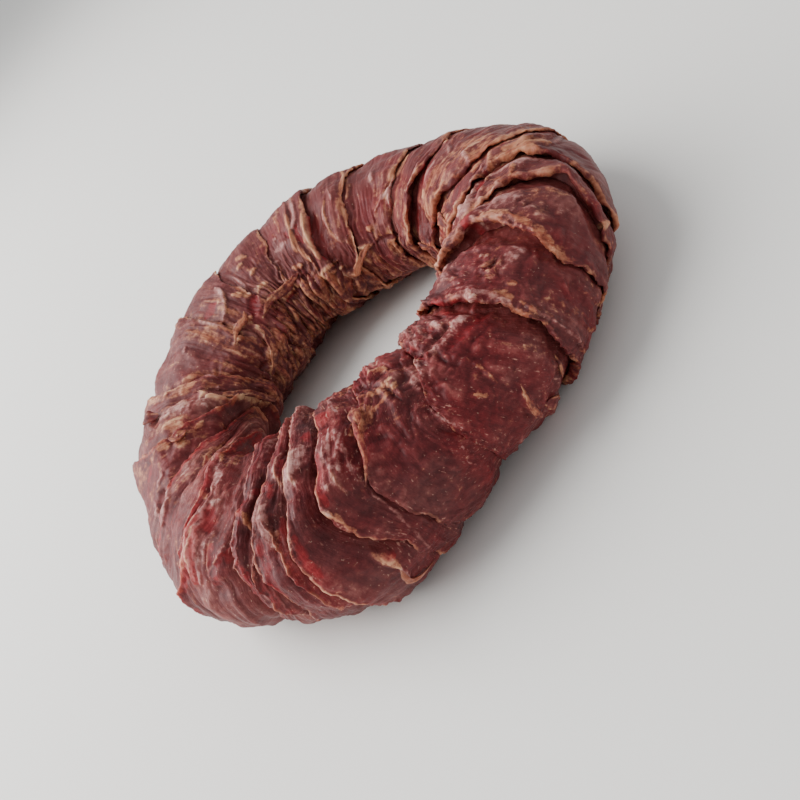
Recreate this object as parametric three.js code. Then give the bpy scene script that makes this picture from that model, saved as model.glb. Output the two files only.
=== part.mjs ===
// A duck dog treat: slices of dried duck wound one over the next round a ring, like the turns of a bandage.
// Every turn that shows is one solid, cut off at the centre line of the ring; the hidden core isn't modelled.
// Lengths are millimetres, angles are degrees. The ring lies on z = 0 and its bounding box is centred on the z axis.

import * as THREE from 'three'
import { mergeVertices } from 'three/addons/utils/BufferGeometryUtils.js'

// The bare ring, in twelve stations of 30 degrees counted anticlockwise from +X.
const centreRadius = [45.4, 43.1, 40.7, 41.5, 41.3, 43.0, 43.2, 44.2, 44.0, 38.6, 39.9, 44.2]
const halfWidth = [15.9, 15.2, 17.1, 18.0, 17.7, 16.1, 15.4, 17.2, 18.6, 17.2, 15.7, 16.7]
const flatness = 0.85
const sag = 0.6

// How deep the tube is hollowed low down beside the hole and low down outside, at the same stations, the angle
// round the tube where each hollow is deepest, and how far it spreads.
const innerHollow = [0, 1.2, 2.4, 2.5, 1.7, 0.3, 0, 0, 0, 0, 0, 0]
const outerHollow = [0, 0, 0, 0, 0, 0, 0, 0, 0.2, 0.3, 1.4, 0.5]
const innerHollowAngle = 233
const outerHollowAngle = -40
const hollowSpread = 24

// How one turn lies on the turn before it.
const lipLength = 1.9
const lipThickness = 1.6
const rimThickness = 1.2
const rimLift = 0.5
const gap = 0.45
const wallBend = 0.55
const facesRound = 30
const leanTurns = 13

// Where the front edge of each turn lies round the ring: at the outside of the tube, at its outer shoulder,
// on top, at its inner shoulder and on the side of the hole.
const frontEdges = [
  [207, 208, 211.5, 194, 166],
  [226, 225.5, 229.5, 223, 204],
  [232, 231, 236, 237, 226],
  [240, 239, 242, 247, 244.5],
  [249, 244.5, 250.5, 255, 257],
  [254, 251.5, 262, 268, 270],
  [272, 271, 279, 284, 286],
  [298, 298.5, 296, 295, 300],
  [314.5, 315, 319, 313, 314],
  [322, 331, 329, 321.5, 328],
  [328.5, 338.5, 340.5, 334, 343],
  [352, 350.5, 350, 360, 371],
  [370, 376, 376, 380.5, 385.5],
  [391, 390.5, 389.5, 391, 394],
  [408, 408, 408, 410, 412],
  [425, 425, 424, 424.5, 424],
  [443, 443, 443, 445, 446],
  [460, 460, 462, 463, 463],
  [477, 478, 479, 481, 480],
  [498, 501, 506, 502, 494],
  [518, 520, 528.5, 521, 503.5],
  [546, 553, 543, 533, 509],
]

// How far the tube swells beyond its bare half width at the front edge of each turn.
const swelling = [
  0.6, -0.6, 0, 0.3, 0, -0.6, -0.9, 0.7, 0.4, 0, -0.2,
  0, -0.3, -0.6, 0.3, 0.5, -0.6, 0.5, 0.2, -1, 0.6, -1.2,
]

// One turn from its middle, up its front wall, over the lip and the back of the turn, under the next lip and
// back to its middle. "share" runs from this turn's front edge (0) to the next one's (1), "along" is a further
// distance along the ring, and the height is either a share of the tube's half width or a distance from its skin.
const outline = [
  { share: 0, along: gap / 2, reach: 0 },
  { share: 0, along: lipLength, reach: wallBend },
  { share: 0, along: lipLength, skin: -lipThickness },
  { share: 0, along: 0, skin: rimLift - rimThickness },
  { share: 0, along: 0.2, skin: rimLift },
  { share: 0.15, along: 0, skin: 0.7 },
  { share: 0.42, along: 0, skin: 0.4 },
  { share: 0.8, along: 0, skin: -0.3 },
  { share: 1, along: 0, skin: rimLift - rimThickness - gap },
  { share: 1, along: lipLength - 2 * gap, skin: -lipThickness - gap },
  { share: 1, along: lipLength - gap, reach: wallBend },
  { share: 1, along: -gap / 2, reach: 0 },
]

const radians = (degrees) => degrees * Math.PI / 180

// A smooth closed curve through evenly spaced stations.
function around(stations, degrees) {
  const count = stations.length
  const place = degrees / 360 * count
  const first = Math.floor(place)
  const part = place - first
  const [a, b, c, d] = [-1, 0, 1, 2].map((step) => stations[(((first + step) % count) + count) % count])
  return b + part / 2 * (c - a + part * (2 * a - 5 * b + 4 * c - d + part * (3 * (b - c) + d - a)))
}

function centreLine(degrees) {
  const radius = around(centreRadius, degrees)
  return new THREE.Vector2(radius * Math.cos(radians(degrees)), radius * Math.sin(radians(degrees)))
}

// A point of the tube: degrees round the ring, degrees round the tube, and the tube's half width and half height there.
function tubePoint(ringAngle, tubeAngle, wide, high) {
  const middle = centreLine(ringAngle)
  const direction = centreLine(ringAngle + 0.5).sub(centreLine(ringAngle - 0.5)).normalize()
  const outwards = wide * Math.cos(radians(tubeAngle))
  const height = flatness * around(halfWidth, ringAngle) + high * Math.sin(radians(tubeAngle))
  return new THREE.Vector3(
    middle.x + direction.y * outwards,
    middle.y - direction.x * outwards,
    Math.max(height - sag, 0),
  )
}

// The front edge of a turn at an angle round the tube; it crosses the underside evenly. "reach" draws it
// in to one point on the centre line.
function edgeAngle(turn, tubeAngle, reach) {
  const edge = frontEdges[turn % frontEdges.length].map((angle) => angle + 360 * Math.floor(turn / frontEdges.length))
  const [outside, , , , inside] = edge
  const underside = [0.25, 0.5, 0.75].map((share) => inside + (outside - inside) * share)
  const stations = [...edge, ...underside]
  const middle = stations.reduce((sum, angle) => sum + angle, 0) / stations.length
  return middle + (around(stations, tubeAngle) - middle) * reach
}

function hollowed(ringAngle, tubeAngle) {
  const aroundTube = (tubeAngle + 450) % 360 - 90 // from -90 to 270, with the break underneath
  const inner = around(innerHollow, ringAngle) * Math.exp(-(((aroundTube - innerHollowAngle) / hollowSpread) ** 2))
  const outer = around(outerHollow, ringAngle) * Math.exp(-(((aroundTube - outerHollowAngle) / hollowSpread) ** 2))
  return inner + outer
}

function bendTurn(turn, tubeAngle, { share, along, reach, skin }) {
  const spread = reach ?? 1
  const start = edgeAngle(turn, tubeAngle, spread)
  const end = edgeAngle(turn + 1, tubeAngle, spread)
  const edge = start + (end - start) * share
  const wide = around(halfWidth, edge)
  const fromAxis = around(centreRadius, edge) + wide * spread * Math.cos(radians(tubeAngle))
  const ringAngle = edge + along / radians(fromAxis)
  const high = wide * flatness
  const [ownSwelling, nextSwelling] = [turn, turn + 1].map((number) => swelling[number % swelling.length])
  const proud = skin + ownSwelling + (nextSwelling - ownSwelling) * share - hollowed(ringAngle, tubeAngle)
  return reach === undefined
    ? tubePoint(ringAngle, tubeAngle, wide + proud, high + proud)
    : tubePoint(ringAngle, tubeAngle, wide * reach, high * reach)
}

function makeTurn(turn) {
  const profile = outline.map(({ reach }, step) => new THREE.Vector2(reach === 0 ? 0 : 1, step))
  const shape = new THREE.LatheGeometry(profile, facesRound)
  shape.deleteAttribute('uv')
  shape.deleteAttribute('normal')
  const corners = shape.getAttribute('position')
  for (let corner = 0; corner < corners.count; corner += 1) {
    const tubeAngle = 270 - 360 * Math.floor(corner / outline.length) / facesRound
    corners.setXYZ(corner, ...bendTurn(turn, tubeAngle, outline[corner % outline.length]).toArray())
  }
  return mergeVertices(shape, 1e-5)
}

// Dark lean slices at the front of the ring, browner and fattier ones round the back.
function makeMeat(turn) {
  const isLean = turn < leanTurns
  const meat = new THREE.MeshStandardMaterial({ color: isLean ? 0x63302f : 0x7a4a3c, roughness: isLean ? 0.5 : 0.62 })
  meat.name = isLean ? 'lean_duck' : 'fatty_duck'
  return meat
}

const group = new THREE.Group()
group.name = 'duck_dog_treat'
frontEdges.forEach((_, turn) => {
  const mesh = new THREE.Mesh(makeTurn(turn), makeMeat(turn))
  mesh.name = `wrap_${String(turn + 1).padStart(2, '0')}`
  group.add(mesh)
})

const box = new THREE.Box3().setFromObject(group)
const middle = box.getCenter(new THREE.Vector3())
group.position.set(-middle.x, -middle.y, -box.min.z)

export default group
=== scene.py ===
import math

import bmesh
import bpy
import numpy as np
from mathutils import Matrix, Vector
from mathutils.bvhtree import BVHTree


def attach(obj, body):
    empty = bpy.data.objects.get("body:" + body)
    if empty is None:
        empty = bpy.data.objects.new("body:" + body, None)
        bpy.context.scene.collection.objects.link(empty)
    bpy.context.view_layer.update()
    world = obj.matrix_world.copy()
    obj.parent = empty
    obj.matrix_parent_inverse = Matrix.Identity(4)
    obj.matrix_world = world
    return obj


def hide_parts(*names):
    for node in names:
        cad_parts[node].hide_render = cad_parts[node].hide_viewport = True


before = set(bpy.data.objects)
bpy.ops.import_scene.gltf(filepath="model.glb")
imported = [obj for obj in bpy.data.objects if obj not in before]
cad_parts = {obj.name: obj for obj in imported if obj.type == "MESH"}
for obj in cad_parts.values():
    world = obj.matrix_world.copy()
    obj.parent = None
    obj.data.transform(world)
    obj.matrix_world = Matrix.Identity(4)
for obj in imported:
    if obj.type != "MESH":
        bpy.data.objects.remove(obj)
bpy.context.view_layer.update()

# Camera
# The ring is seen from close by and above, with the camera turned in the hand, so the view is rolled.
eye = (-0.00250, -0.17371, 0.11502)
look_down = math.radians(34.56)
roll = math.radians(-46.92)

camera = bpy.data.objects.new("camera", bpy.data.cameras.new("camera"))
camera.data.lens = 42.4
camera.data.sensor_width = 36
camera.data.clip_start = 0.01
level = Matrix.Rotation(math.pi / 2 - look_down, 4, "X")
camera.matrix_world = Matrix.Translation(eye) @ level @ Matrix.Rotation(roll, 4, "Z")
bpy.context.scene.collection.objects.link(camera)
bpy.context.scene.camera = camera


# Table and light
# A pale matt table top, lit by a large window at the left and by the pale room round it.
class Wire:
    """A value that varies over a surface: one output of a node, with the sums written as sums."""

    def __init__(self, socket):
        self.socket = socket

    def sum(self, operation, first, second):
        terms = {0: first, 1: second}
        return add_node(self.socket.id_data, "ShaderNodeMath", {"operation": operation}, terms)

    def __add__(self, other):
        return self.sum("ADD", self, other)

    def __radd__(self, other):
        return self.sum("ADD", other, self)

    def __sub__(self, other):
        return self.sum("SUBTRACT", self, other)

    def __rsub__(self, other):
        return self.sum("SUBTRACT", other, self)

    def __mul__(self, other):
        return self.sum("MULTIPLY", self, other)

    def __rmul__(self, other):
        return self.sum("MULTIPLY", other, self)


def add_node(tree, kind, settings, inputs, output=0):
    node = tree.nodes.new(kind)
    for name, value in settings.items():
        if name == "stops":
            ends = node.color_ramp.elements
            (ends[0].position, ends[0].color), (ends[1].position, ends[1].color) = value[0], value[-1]
            for place, colour in value[1:-1]:
                ends.new(place).color = colour
        else:
            setattr(node, name, value)
    for name, value in inputs.items():
        if isinstance(value, Wire):
            tree.links.new(value.socket, node.inputs[name])
        else:
            node.inputs[name].default_value = value
    return Wire(node.outputs[output])


def paint(red, green, blue):
    """A colour as the eye reads it, from 0 to 255, as a shader takes it."""
    return tuple((part / 255) ** 2.2 for part in (red, green, blue)) + (1,)


def new_material(name):
    material = bpy.data.materials.new(name)
    material.use_nodes = True
    tree = material.node_tree
    tree.nodes.clear()
    return material, tree


def finish_material(tree, inputs):
    shader = add_node(tree, "ShaderNodeBsdfPrincipled", {}, inputs)
    tree.links.new(shader.socket, tree.nodes.new("ShaderNodeOutputMaterial").inputs["Surface"])


def make_mesh(name, shape):
    mesh = bpy.data.meshes.new(name)
    shape.to_mesh(mesh)
    shape.free()
    return mesh


def link_mesh(name, mesh, material):
    mesh.materials.append(material)
    piece = bpy.data.objects.new(name, mesh)
    bpy.context.scene.collection.objects.link(piece)
    return piece


table_finish, tree = new_material("table_finish")
finish_material(tree, {"Base Color": paint(230, 228, 223), "Roughness": 0.7})
shape = bmesh.new()
bmesh.ops.create_grid(shape, x_segments=1, y_segments=1, size=3)
link_mesh("table_top", make_mesh("table_top", shape), table_finish)

window_place = Vector((-0.5, 0.26, 0.48))
window_aim = Vector((0, 0, 0.01))
window_light = bpy.data.lights.new("window", "AREA")
window_light.shape = "DISK"
window_light.size = 1
window_light.energy = 15.5
window_light.color = (1, 0.99, 0.985)
window = bpy.data.objects.new("window", window_light)
facing = (window_place - window_aim).normalized().to_track_quat("Z", "Y")
window.matrix_world = Matrix.Translation(window_place) @ facing.to_matrix().to_4x4()
bpy.context.scene.collection.objects.link(window)

room = bpy.data.worlds.new("room")
room.use_nodes = True
room.node_tree.nodes["Background"].inputs["Color"].default_value = (0.96, 0.975, 1, 1)
room.node_tree.nodes["Background"].inputs["Strength"].default_value = 0.75
bpy.context.scene.world = room


# The turns of meat
# Slices of dried duck wound one over the next round a ring. The front edge of each turn is a cut lip, mostly
# 1 to 2 mm thick, that lies over the turn before it, lifts off it here and there, and shows its red inside.

# Sizes are in mm and angles in degrees. A row of twelve values goes round the ring in steps of 30 degrees,
# anticlockwise from +X. Round the tube, 0 is outside, 90 on top and 180 beside the hole. to_middle moves the
# ring's own axis so that the part's box is centred.
centre_radius = (45.4, 43.1, 40.7, 41.5, 41.3, 43.0, 43.2, 44.2, 44.0, 38.6, 39.9, 44.2)
half_width = (15.9, 15.2, 17.1, 18.0, 17.7, 16.1, 15.4, 17.2, 18.6, 17.2, 15.7, 16.7)
mean_radius = 44
mean_half_width = 16
mean_reach = 14
flatness = 0.85
sag = 0.6
to_middle = (-1.731, -0.545)
inner_hollow = (0, 1.2, 2.4, 2.5, 1.7, 0.3, 0, 0, 0, 0, 0, 0)
outer_hollow = (0, 0, 0, 0, 0, 0, 0, 0, 0.2, 0.3, 1.4, 0.5)
inner_hollow_angle = 233
outer_hollow_angle = -40
hollow_spread = 24
lip_thickness = (1.2, 1.1, 1.1, 1.1, 1.2, 1.4, 1.8, 2.0, 2.0, 1.4, 1.4, 1.3)
lip_length = 3.0
rim_round = 0.5
rim_rise = 0.3
faces_round = 300
steps_across = 66
to_metres = 0.001

# Above this height the crests are pressed down to a part of what they would stand out by.
press_above = 30.6
press_slope = 0.45

# Each turn in order: where its front edge lies round the ring, how far its lip stands up, and how deep the
# gap under the lip is, each at the outside of the tube, its outer shoulder, its top, its inner shoulder and
# beside the hole. The last number is how far the tube swells there.
turns = (
    ((207, 208, 211.5, 194, 166), (0, 0.5, 1.4, 0.9, 0.3), (0.4, 1.2, 1.8, 1.2, 0.6), 0.5),
    ((226, 225.5, 229.5, 223, 204), (-0.9, 0.9, 2.1, 1.2, 0.3), (1.2, 2.2, 2.6, 1.4, 0.5), -0.7),
    ((232, 231, 236, 237, 226), (-0.5, 1.3, 1.8, 1.2, 0.8), (1.0, 2.8, 2.8, 1.6, 1.0), -0.1),
    ((240, 238.8, 242, 247, 244.5), (0.8, 1.4, 1.6, 1.0, 0.6), (1.4, 2.2, 2.2, 1.2, 0.8), 0.3),
    ((249, 244.4, 250.3, 255, 257), (0.3, 1.3, 1.6, 0.9, 0.5), (0.5, 2.0, 2.2, 1.0, 0.6), 0),
    ((254, 251.5, 262, 268, 270), (0, 0.1, 0.6, 0.4, 0.2), (0, 0.1, 0.6, 0.4, 0.2), -0.6),
    ((272, 271, 279, 284, 286), (0.1, 0.1, 0.5, 0.5, 0.3), (0.2, 0.1, 0.6, 0.5, 0.3), -0.9),
    ((298, 298.3, 296, 295, 300), (0.6, 1.1, 1.2, 0.7, 0.4), (1.4, 1.2, 1.6, 1.2, 0.6), 0.7),
    ((314.5, 315, 319, 313, 314), (0.4, 0.7, 1.7, 1.0, 0.4), (0.4, 0.9, 2.4, 1.0, 0.4), 0.4),
    ((322, 331, 329, 321.5, 328), (0.6, 1.5, 0.6, 0.4, 0.3), (0.6, 2.2, 0.6, 0.4, 0.3), 0),
    ((328.5, 338.5, 340.5, 334, 343), (0.6, 1.0, 0.7, 0.4, 0.3), (0.6, 0.8, 0.5, 0.4, 0.3), -0.2),
    ((352, 350.3, 350.2, 360, 371), (0.2, 0.2, 0.4, 1.1, 0.8), (0.2, 0.2, 0.3, 1.2, 0.9), 0),
    ((370, 376, 376, 380.5, 385.5), (0.2, 0.2, 0.4, 1.1, 1.1), (0.2, 0.2, 0.3, 1.3, 1.5), -0.3),
    ((391, 390.5, 389.5, 391, 394), (0.3, 0.3, 0.4, 0.5, 0.6), (0.2, 0.2, 0.3, 0.4, 0.6), -0.5),
    ((408, 408, 408, 410, 412), (0.3, 0.35, 0.35, 0.3, 0.3), (0.25, 0.25, 0.25, 0.3, 0.3), 0.3),
    ((425, 425, 424, 424.5, 424), (0.5, 0.7, 1.0, 0.9, 0.4), (0.4, 0.4, 0.6, 0.7, 0.5), 0.5),
    ((443, 443, 443, 445, 446), (0.1, 0.1, 0.1, 0.2, 0.2), (0.1, 0.1, 0.1, 0.2, 0.2), -0.4),
    ((460, 460, 462, 463, 463), (0.1, 0.1, 0.4, 0.4, 0.3), (0.2, 0.2, 0.3, 0.35, 0.3), 0.4),
    ((477, 478, 479, 481, 480), (0.3, 0.4, 0.4, 0.4, 0.5), (0.3, 0.3, 0.35, 0.5, 0.6), 0.2),
    ((498, 501, 506, 502, 494), (0, 0.1, 0.7, 1.1, 1.0), (0.3, 0.4, 0.7, 1.0, 1.0), -0.6),
    ((518, 520, 528.5, 521, 503.5), (0.5, 0.8, 1.0, 0.6, 0.4), (0.5, 0.7, 0.8, 0.6, 0.4), 0.6),
    ((546, 553, 543, 533, 509), (0.5, 1.1, 0.7, 0.2, 0.2), (0.5, 1.6, 0.8, 0.2, 0.2), -1.2),
)

# Thinner layers that end on top of a turn: a line through three places, each an angle round the tube and an
# angle round the ring, the height of the step in mm, and the distance in mm over which it runs out again.
layers = (
    ((77, 215), (47, 211), (8, 202.5), 1.2, 4),
    ((71, 216), (56, 214), (32, 213), 0.8, 2),
    ((62, 218.5), (45, 218), (29, 217.5), 0.8, 2.5),
    ((62, 226), (52, 222), (42, 218), 0.6, 2),
    ((48, 229), (25, 228.5), (-10, 231), 1.0, 2),
    ((71, 235), (45, 235.5), (-15, 238), 1.3, 4),
    ((73, 239), (85, 238.5), (98, 239), 1.2, 4),
    ((67, 242.5), (80, 242.5), (92, 244.5), 0.8, 4),
    ((83, 251.5), (60, 248), (36, 250), 0.6, 2),
    ((82, 254), (61, 251), (44, 251.5), 0.6, 2),
    ((98, 266), (112, 268), (126, 270), 0.6, 3),
    ((12, 285), (1, 284.5), (-20, 287), 0.8, 4),
    ((47, 300.5), (18, 300), (-30, 302.5), 0.5, 2),
    ((33, 304.5), (4, 305), (-30, 307.5), 0.5, 3),
    ((21, 310.5), (3, 310.5), (-25, 313), 0.4, 3),
    ((86, 344.5), (56, 343.5), (25, 350), 0.7, 3),
    ((88, 390.5), (108, 391), (128, 395.5), 0.5, 3),
    ((142, 416), (122, 416.5), (99, 414.5), 0.4, 2),
    ((72, 431), (104, 430), (135, 432.5), 0.9, 3),
    ((100, 467), (113, 468.5), (123, 475.5), 0.6, 3),
    ((94, 482), (107, 482.5), (124, 481.5), 0.4, 3),
    ((123, 510), (140, 514.5), (169, 506.5), 1.0, 2.5),
    ((78, 518), (96, 515.5), (119, 513), 0.5, 2),
    ((100, 561), (110, 551.5), (122, 544), 0.3, 2),
)

# Single folds, creases, torn rims and strands of fat that stand out: a bent line through three places, each
# an angle round the tube and one round the ring, then half its width and its height in mm, and its look.
# The dark look is painted shade in a crease, and the bloom look is a pale bloom partly painted as a sheen.
streaks = (
    ((122, 198), (103, 212), (93, 215.5), 2.2, 0.6, "bloom"),
    ((156, 216), (141, 223), (122, 230), 2.2, 0.9, "red"),
    ((90, 210.5), (87, 214), (85, 214.5), 1.0, 0.3, "fat"),
    ((79, 210.5), (70, 207.5), (47, 207), 0.8, 0.5, "bloom"),
    ((70, 210), (56, 211), (39, 209.5), 1.2, -0.2, "red"),
    ((60, 213), (47, 211.5), (5, 203), 1.0, 0.5, "fat"),
    ((74, 214.5), (60, 213.5), (42, 212.5), 0.7, 0.4, "bloom"),
    ((82, 215.5), (60, 214.5), (37, 214), 0.7, 0.4, "bloom"),
    ((86, 217), (60, 216), (35, 215), 0.7, 0.4, "bloom"),
    ((85, 219.5), (82, 218), (77, 216), 0.9, 0.5, "bloom"),
    ((81, 217.5), (73, 218), (66, 218.5), 1.8, -0.6, "red"),
    ((65, 220), (62, 218), (48, 217), 0.9, 0.5, "bloom"),
    ((57, 218.5), (50, 218.5), (42, 218), 1.2, -0.3, "red"),
    ((58, 223), (53, 221.5), (47, 220), 0.8, 0.5, "bloom"),
    ((58, 224.5), (52, 223.5), (46, 222.5), 1.0, -0.2, "red"),
    ((83, 226.5), (77, 226.5), (68, 230), 0.6, 0.6, "fat"),
    ((77, 231), (77, 227.5), (68, 230), 1.3, -0.6, "red"),
    ((70, 230), (65, 230.5), (59, 230.5), 0.8, 0.4, "fat"),
    ((86, 232), (82, 231.5), (77, 231.5), 0.8, 0.6, "bloom"),
    ((83, 232.5), (80, 234), (78, 237.5), 1.3, 0.4, "red"),
    ((77, 232.5), (67, 232), (56, 231), 1.2, -1.0, "dark"),
    ((47, 227), (35, 224.5), (9, 224.5), 0.6, 0.5, "bloom"),
    ((38, 227.5), (19, 226), (-3, 225.5), 1.3, -0.5, "red"),
    ((44, 229.5), (25, 228.5), (2, 228.5), 0.6, 0.4, "bloom"),
    ((59, 233.5), (45, 230.5), (10, 231.5), 0.7, 0.4, "bloom"),
    ((54, 233), (40, 232.5), (16, 232.5), 1.1, -0.1, "red"),
    ((76, 235.5), (63, 234.5), (45, 235.5), 1.4, 0.8, "bloom"),
    ((45, 235.5), (33, 236), (19, 237.5), 0.9, 0.6, "bloom"),
    ((76, 237), (74, 237), (70, 237), 1.0, -0.4, "red"),
    ((59, 237.5), (51, 237.5), (44, 237.5), 1.0, -0.4, "red"),
    ((77, 239.5), (59, 238.5), (40, 238.5), 0.7, 0.6, "fat"),
    ((40, 238.5), (23, 238), (-8, 241), 0.7, 0.5, "fat"),
    ((46, 240), (33, 239.5), (22, 240), 0.9, 0, "red"),
    ((96, 240), (86, 238.5), (78, 238.5), 0.9, 0.8, "bloom"),
    ((92, 241), (84, 240.5), (77, 240), 2.0, 0.5, "red"),
    ((89, 244), (79, 242.5), (73, 242.5), 1.0, 0.9, "bloom"),
    ((89, 246), (83, 245), (76, 243.5), 1.8, 0.7, "bloom"),
    ((72, 243), (71, 245), (68, 246), 1.2, -0.9, "dark"),
    ((83, 247.5), (64, 245), (44, 245), 0.7, 0.5, "bloom"),
    ((75, 248.5), (62, 246.5), (49, 245.5), 1.1, -0.1, "red"),
    ((47, 244.5), (43, 245), (38, 245.5), 0.6, 0.4, "fat"),
    ((40, 245.5), (34, 245.5), (30, 246), 0.5, 0.3, "fat"),
    ((76, 250), (64, 247.5), (53, 247), 0.6, 0.4, "bloom"),
    ((83, 253), (64, 249), (48, 248.5), 0.6, 0.4, "bloom"),
    ((75, 254), (65, 250.5), (54, 249.5), 0.6, 0.4, "bloom"),
    ((69, 253), (61, 251.5), (50, 250.5), 0.6, 0.3, "bloom"),
    ((94, 247), (93, 250.5), (92, 255), 2.2, 0.3, "red"),
    ((112, 258.5), (97, 257), (88, 256.5), 0.6, 0.4, "bloom"),
    ((76, 262), (74, 258), (68, 256), 2.5, 0.3, "fat"),
    ((38, 250.5), (20, 251), (-12, 250.5), 0.5, 0.3, "bloom"),
    ((87, 262), (81, 266), (80, 271), 1.2, 0.4, "fat"),
    ((74, 260), (73, 265), (75, 271), 0.8, 0.3, "fat"),
    ((98, 268), (97, 271), (90, 272), 1.0, 0.5, "fat"),
    ((100, 278.5), (80, 276), (61, 273), 1.8, 0.6, "bloom"),
    ((81, 278), (71, 277), (63, 275), 1.0, 0.4, "bloom"),
    ((100, 280), (84, 280), (72, 279.5), 1.0, -1.0, "red"),
    ((106, 284), (95, 283), (84, 281), 1.7, 0.7, "bloom"),
    ((98, 287), (89, 285.5), (79, 285), 1.2, 0.3, "bloom"),
    ((91, 286), (86, 286.5), (83, 287), 0.9, -0.5, "red"),
    ((93, 289), (84, 288.5), (77, 288), 1.4, 0.5, "bloom"),
    ((78, 280), (77, 285), (75, 289.5), 0.7, -0.8, "dark"),
    ((73, 281), (70, 289), (69, 297.5), 1.5, 0.9, "bloom"),
    ((66, 284), (63, 290.5), (60, 297.5), 1.0, -0.5, "red"),
    ((51, 271), (38, 270.5), (25, 272), 0.8, 0.4, "bloom"),
    ((33, 279.5), (29, 280.5), (26, 281.5), 0.8, 0.5, "fat"),
    ((52, 285), (40, 285), (28, 284.5), 0.5, 0.4, "fat"),
    ((11, 286.5), (-1, 285), (-18, 286), 0.9, 1.0, "fat"),
    ((18, 245.5), (9, 246), (-4, 246.5), 1.1, 0.9, "fat"),
    ((13, 246.5), (7, 246.5), (2, 247), 0.9, 0.2, "red"),
    ((-4, 246.5), (-12, 246), (-20, 245.5), 0.6, 0.7, "bloom"),
    ((-11, 285.5), (-24, 286.5), (-34, 287), 0.6, 0.4, "bloom"),
    ((19, 268), (17, 268), (16, 267.5), 0.8, 0.3, "bloom"),
    ((9, 266), (5, 266), (0, 267), 0.4, 0.3, "bloom"),
    ((3, 295.5), (-1, 295.5), (-12, 295.5), 0.8, 0.6, "fat"),
    ((82, 296.5), (70, 299), (49, 299), 1.6, 0.3, "bloom"),
    ((63, 299.5), (56, 300.5), (49, 300), 1.5, 0.2, "fat"),
    ((58, 303.5), (55, 304), (52, 304.5), 0.9, 0.4, "fat"),
    ((74, 305.5), (68, 306.5), (68, 310), 0.7, 0.8, "fat"),
    ((38, 300.5), (22, 300), (-18, 301.5), 0.6, 0.3, "bloom"),
    ((99, 317.5), (85, 320.5), (70, 319.5), 1.1, 0.3, "fat"),
    ((70, 319.5), (57, 317.5), (41, 315.5), 1.1, 0.3, "fat"),
    ((92, 317), (92, 318.5), (89, 317.5), 0.8, -0.3, "red"),
    ((112, 294), (91, 294.5), (77, 295), 1.8, -0.3, "red"),
    ((9, 323), (8, 324), (4, 325), 1.0, 0.5, "fat"),
    ((81, 322.5), (83, 325.5), (83, 329), 0.6, 0.3, "bloom"),
    ((99, 318.5), (100, 321.5), (101, 326), 1.2, 0.2, "red"),
    ((74, 333), (73, 334.5), (72, 336), 0.8, 0.5, "fat"),
    ((60, 336), (58, 336), (55, 336.5), 0.6, 0.3, "bloom"),
    ((87, 340), (66, 341.5), (44, 342), 1.5, 0.3, "fat"),
    ((44, 342), (33, 345.5), (20, 351), 0.7, 0.4, "bloom"),
    ((100, 331.5), (96, 337.5), (91, 341.5), 1.0, -0.5, "red"),
    ((105, 332), (101, 339.5), (91, 343.5), 0.9, 0.6, "bloom"),
    ((91, 336), (86, 342), (80, 348), 0.8, 0.5, "fat"),
    ((109, 329.5), (116, 335.5), (125, 346.5), 0.9, 0.7, "bloom"),
    ((132, 342), (140, 349), (142, 355.5), 1.8, 0.6, "fat"),
    ((96, 351), (95, 353.5), (93, 358), 0.9, 0.4, "bloom"),
    ((98, 344.5), (94, 349), (91, 353.5), 2.0, 0.2, "fat"),
    ((108, 350), (118, 353.5), (131, 358), 1.6, -1.0, "dark"),
    ((120, 0), (113, 0), (108, 0.5), 1.4, 0.4, "fat"),
    ((149, 3.5), (139, 4), (126, 11.5), 2.4, 0.4, "fat"),
    ((167, 9), (154, 12), (138, 16.5), 3.0, -0.8, "dark"),
    ((161, 20.5), (150, 20), (136, 19.5), 1.2, 0, "red"),
    ((165, 24.5), (147, 21.5), (131, 19), 0.9, 0.3, "fat"),
    ((171, 10), (170, 17.5), (175, 22.5), 1.0, 0.4, "fat"),
    ((160, 31.5), (157, 36.5), (158, 42.5), 0.9, -0.6, "dark"),
    ((166, 27), (164, 28.5), (161, 29.5), 1.2, -0.8, "dark"),
    ((131, 30.5), (118, 30.5), (103, 29), 0.8, 0.5, "bloom"),
    ((131, 37.5), (123, 34), (114, 30.5), 0.8, 0.5, "bloom"),
    ((103, 29), (94, 29), (80, 27.5), 1.0, 0.5, "fat"),
    ((102, 38.5), (98, 38.5), (92, 39), 1.1, 0.6, "bloom"),
    ((94, 6.5), (88, 8.5), (83, 11), 0.8, 0.5, "bloom"),
    ((77, 13), (74, 14.5), (71, 16), 0.8, 0.4, "fat"),
    ((122, 13.5), (112, 15.5), (102, 16.5), 1.2, -0.4, "red"),
    ((118, 11.5), (108, 11.5), (100, 11), 1.6, 0.4, "bloom"),
    ((124, 20.5), (114, 19), (99, 19), 1.0, 0.4, "bloom"),
    ((146, 42.5), (143, 43), (141, 43.5), 1.2, 0.8, "fat"),
    ((157, 44), (158, 47), (155, 50.5), 0.9, 0.7, "fat"),
    ((155, 50.5), (164, 52.5), (171, 56), 0.9, 0.8, "fat"),
    ((171, 56), (173, 58), (170, 60), 0.9, 0.7, "fat"),
    ((164, 55.5), (155, 56.5), (145, 57.5), 3.0, -0.4, "dark"),
    ((121, 46.5), (107, 46.5), (93, 47), 0.7, -0.6, "dark"),
    ((110, 48.5), (95, 48), (72, 50.5), 0.9, 0.4, "fat"),
    ((109, 52.5), (102, 53), (95, 54), 0.6, 0.4, "bloom"),
    ((131, 56.5), (122, 57.5), (110, 55.5), 0.9, 0.4, "bloom"),
    ((150, 63.5), (131, 63), (108, 62), 1.4, -0.7, "red"),
    ((148, 65), (128, 65.5), (107, 64.5), 1.0, 0.5, "fat"),
    ((145, 69), (131, 71), (115, 70.5), 1.0, 0.6, "fat"),
    ((115, 70.5), (103, 68), (80, 68.5), 1.1, 0.7, "bloom"),
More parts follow.
